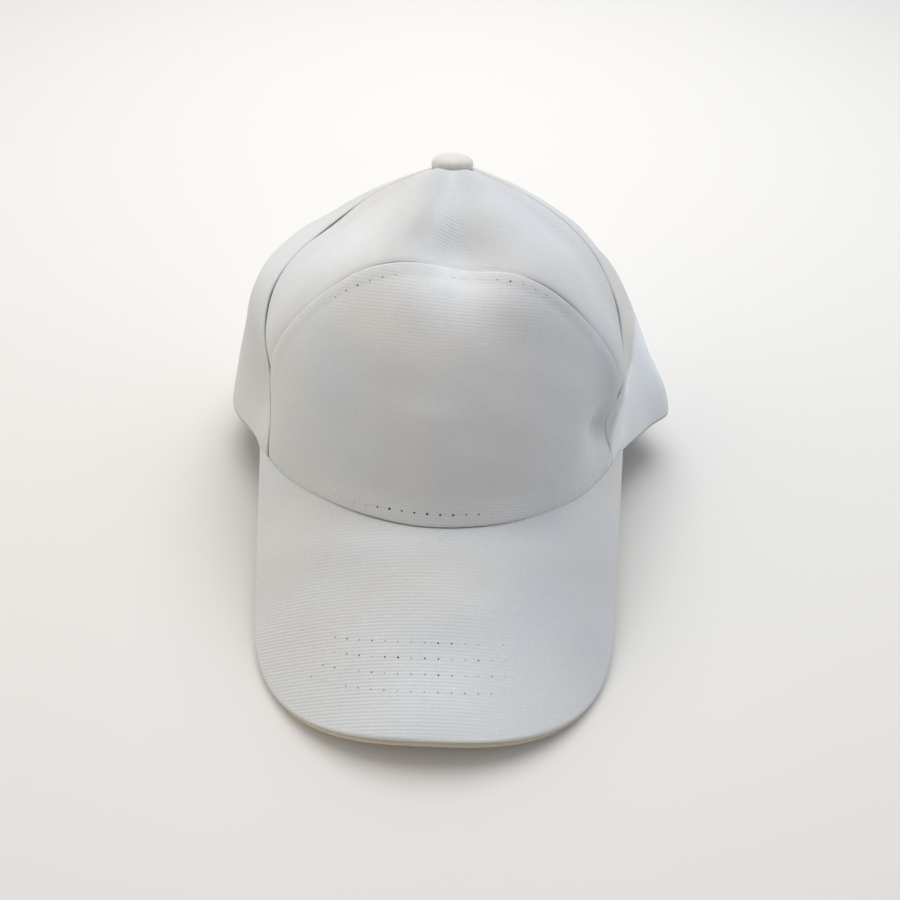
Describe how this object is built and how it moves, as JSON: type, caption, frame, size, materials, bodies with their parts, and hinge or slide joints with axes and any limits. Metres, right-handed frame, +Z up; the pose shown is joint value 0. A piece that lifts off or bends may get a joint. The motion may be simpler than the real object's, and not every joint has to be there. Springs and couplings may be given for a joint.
{
  "type": "seven-panel cap",
  "caption": "Seven-panel cap in white ribbed cloth with an arched front panel, covered top button and long curved peak.",
  "frame": {"origin": "middle of the bounding box in plan, on the surface that the cap stands on", "axes": "+X to the right as seen from the front, +Y to the back of the cap, +Z up; the peak points to -Y"},
  "size_m": [0.2066, 0.2484, 0.1373],
  "materials": {
    "white_cloth": "matt fine horizontal rib",
    "button_cloth": "matt stretched cloth",
    "cream_cloth": "matt plain weave",
    "band_cloth": "matt twill tape"
  },
  "bodies": {
    "root": {"front_panel": "white_cloth", "upper_front_panel": "white_cloth", "side_panel_left": "white_cloth", "side_panel_right": "white_cloth", "back_panel_left": "white_cloth", "back_panel_right": "white_cloth", "back_panel_centre": "white_cloth", "top_button": "button_cloth", "peak": "white_cloth", "underpeak": "cream_cloth", "sweatband": "band_cloth"}
  },
  "joints": []
}
